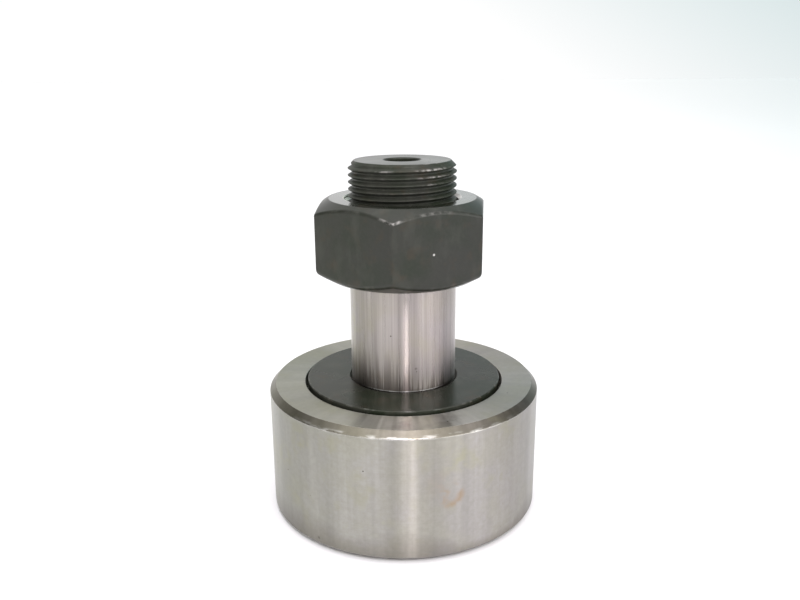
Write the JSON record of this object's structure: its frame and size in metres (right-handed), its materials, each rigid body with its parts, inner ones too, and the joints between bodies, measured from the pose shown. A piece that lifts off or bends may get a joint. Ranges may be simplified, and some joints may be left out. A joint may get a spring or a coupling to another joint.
{
  "type": "cam follower",
  "caption": "Stud-type cam follower: a thick-walled roller on caged needle rollers turns on a threaded stud, held by a thrust washer, with a hexagon nut.",
  "frame": {"origin": "middle of the head's outer face, the lowest point of the standing follower", "axes": "+Z along the stud towards its threaded end; X and Y in the plane of the roller, the driver slot runs along X"},
  "size_m": [0.062, 0.062, 0.08],
  "materials": {
    "stud_steel": "ground shank and raceway, black-oxide threaded end",
    "washer_black": "black oxide, satin",
    "ring_steel": "ground all over",
    "needle_steel": "hardened and polished",
    "cage_steel": "plain steel, lightly oiled",
    "nut_black": "black oxide, satin"
  },
  "bodies": {
    "stud": {"stud": "stud_steel", "thrust_washer": "washer_black"},
    "roller": {"outer_ring": "ring_steel"},
    "cage": {"needle_cage": "cage_steel"},
    "needle_01": {"needle_roller_01": "needle_steel"},
    "needle_02": {"needle_roller_02": "needle_steel"},
    "needle_03": {"needle_roller_03": "needle_steel"},
    "needle_04": {"needle_roller_04": "needle_steel"},
    "needle_05": {"needle_roller_05": "needle_steel"},
    "needle_06": {"needle_roller_06": "needle_steel"},
    "needle_07": {"needle_roller_07": "needle_steel"},
    "needle_08": {"needle_roller_08": "needle_steel"},
    "needle_09": {"needle_roller_09": "needle_steel"},
    "needle_10": {"needle_roller_10": "needle_steel"},
    "needle_11": {"needle_roller_11": "needle_steel"},
    "needle_12": {"needle_roller_12": "needle_steel"},
    "needle_13": {"needle_roller_13": "needle_steel"},
    "needle_14": {"needle_roller_14": "needle_steel"},
    "needle_15": {"needle_roller_15": "needle_steel"},
    "needle_16": {"needle_roller_16": "needle_steel"},
    "needle_17": {"needle_roller_17": "needle_steel"},
    "needle_18": {"needle_roller_18": "needle_steel"},
    "nut": {"hex_nut": "nut_black"}
  },
  "joints": [
    {"name": "ring_spin", "type": "hinge", "parent": "stud", "child": "roller", "pos_m": [0, 0, 0.0153], "axis": [0, 0, 1], "continuous": true},
    {"name": "cage_orbit", "type": "hinge", "parent": "stud", "child": "cage", "pos_m": [0, 0, 0.01525], "axis": [0, 0, 1], "continuous": true},
    {"name": "needle_01_roll", "type": "hinge", "parent": "cage", "child": "needle_01", "pos_m": [0.017, 0, 0.01525], "axis": [0, 0, 1], "continuous": true},
    {"name": "needle_02_roll", "type": "hinge", "parent": "cage", "child": "needle_02", "pos_m": [0.01597, 0.00581, 0.01525], "axis": [0, 0, 1], "continuous": true},
    {"name": "needle_03_roll", "type": "hinge", "parent": "cage", "child": "needle_03", "pos_m": [0.01302, 0.01093, 0.01525], "axis": [0, 0, 1], "continuous": true},
    {"name": "needle_04_roll", "type": "hinge", "parent": "cage", "child": "needle_04", "pos_m": [0.0085, 0.01472, 0.01525], "axis": [0, 0, 1], "continuous": true},
    {"name": "needle_05_roll", "type": "hinge", "parent": "cage", "child": "needle_05", "pos_m": [0.00295, 0.01674, 0.01525], "axis": [0, 0, 1], "continuous": true},
    {"name": "needle_06_roll", "type": "hinge", "parent": "cage", "child": "needle_06", "pos_m": [-0.00295, 0.01674, 0.01525], "axis": [0, 0, 1], "continuous": true},
    {"name": "needle_07_roll", "type": "hinge", "parent": "cage", "child": "needle_07", "pos_m": [-0.0085, 0.01472, 0.01525], "axis": [0, 0, 1], "continuous": true},
    {"name": "needle_08_roll", "type": "hinge", "parent": "cage", "child": "needle_08", "pos_m": [-0.01302, 0.01093, 0.01525], "axis": [0, 0, 1], "continuous": true},
    {"name": "needle_09_roll", "type": "hinge", "parent": "cage", "child": "needle_09", "pos_m": [-0.01597, 0.00581, 0.01525], "axis": [0, 0, 1], "continuous": true},
    {"name": "needle_10_roll", "type": "hinge", "parent": "cage", "child": "needle_10", "pos_m": [-0.017, 0, 0.01525], "axis": [0, 0, 1], "continuous": true},
    {"name": "needle_11_roll", "type": "hinge", "parent": "cage", "child": "needle_11", "pos_m": [-0.01597, -0.00581, 0.01525], "axis": [0, 0, 1], "continuous": true},
    {"name": "needle_12_roll", "type": "hinge", "parent": "cage", "child": "needle_12", "pos_m": [-0.01302, -0.01093, 0.01525], "axis": [0, 0, 1], "continuous": true},
    {"name": "needle_13_roll", "type": "hinge", "parent": "cage", "child": "needle_13", "pos_m": [-0.0085, -0.01472, 0.01525], "axis": [0, 0, 1], "continuous": true},
    {"name": "needle_14_roll", "type": "hinge", "parent": "cage", "child": "needle_14", "pos_m": [-0.00295, -0.01674, 0.01525], "axis": [0, 0, 1], "continuous": true},
    {"name": "needle_15_roll", "type": "hinge", "parent": "cage", "child": "needle_15", "pos_m": [0.00295, -0.01674, 0.01525], "axis": [0, 0, 1], "continuous": true},
    {"name": "needle_16_roll", "type": "hinge", "parent": "cage", "child": "needle_16", "pos_m": [0.0085, -0.01472, 0.01525], "axis": [0, 0, 1], "continuous": true},
    {"name": "needle_17_roll", "type": "hinge", "parent": "cage", "child": "needle_17", "pos_m": [0.01302, -0.01093, 0.01525], "axis": [0, 0, 1], "continuous": true},
    {"name": "needle_18_roll", "type": "hinge", "parent": "cage", "child": "needle_18", "pos_m": [0.01597, -0.00581, 0.01525], "axis": [0, 0, 1], "continuous": true},
    {"name": "nut_slide", "type": "slide", "parent": "stud", "child": "nut", "axis": [0, 0, 1], "range_m": [0, 0.027]}
  ],
  "couplings": [
    {"joint": "cage_orbit", "follows": "ring_spin", "ratio": 0.55882},
    {"joint": "needle_01_roll", "follows": "ring_spin", "ratio": 4.1912},
    {"joint": "needle_02_roll", "follows": "ring_spin", "ratio": 4.1912},
    {"joint": "needle_03_roll", "follows": "ring_spin", "ratio": 4.1912},
    {"joint": "needle_04_roll", "follows": "ring_spin", "ratio": 4.1912},
    {"joint": "needle_05_roll", "follows": "ring_spin", "ratio": 4.1912},
    {"joint": "needle_06_roll", "follows": "ring_spin", "ratio": 4.1912},
    {"joint": "needle_07_roll", "follows": "ring_spin", "ratio": 4.1912},
    {"joint": "needle_08_roll", "follows": "ring_spin", "ratio": 4.1912},
    {"joint": "needle_09_roll", "follows": "ring_spin", "ratio": 4.1912},
    {"joint": "needle_10_roll", "follows": "ring_spin", "ratio": 4.1912},
    {"joint": "needle_11_roll", "follows": "ring_spin", "ratio": 4.1912},
    {"joint": "needle_12_roll", "follows": "ring_spin", "ratio": 4.1912},
    {"joint": "needle_13_roll", "follows": "ring_spin", "ratio": 4.1912},
    {"joint": "needle_14_roll", "follows": "ring_spin", "ratio": 4.1912},
    {"joint": "needle_15_roll", "follows": "ring_spin", "ratio": 4.1912},
    {"joint": "needle_16_roll", "follows": "ring_spin", "ratio": 4.1912},
    {"joint": "needle_17_roll", "follows": "ring_spin", "ratio": 4.1912},
    {"joint": "needle_18_roll", "follows": "ring_spin", "ratio": 4.1912}
  ]
}
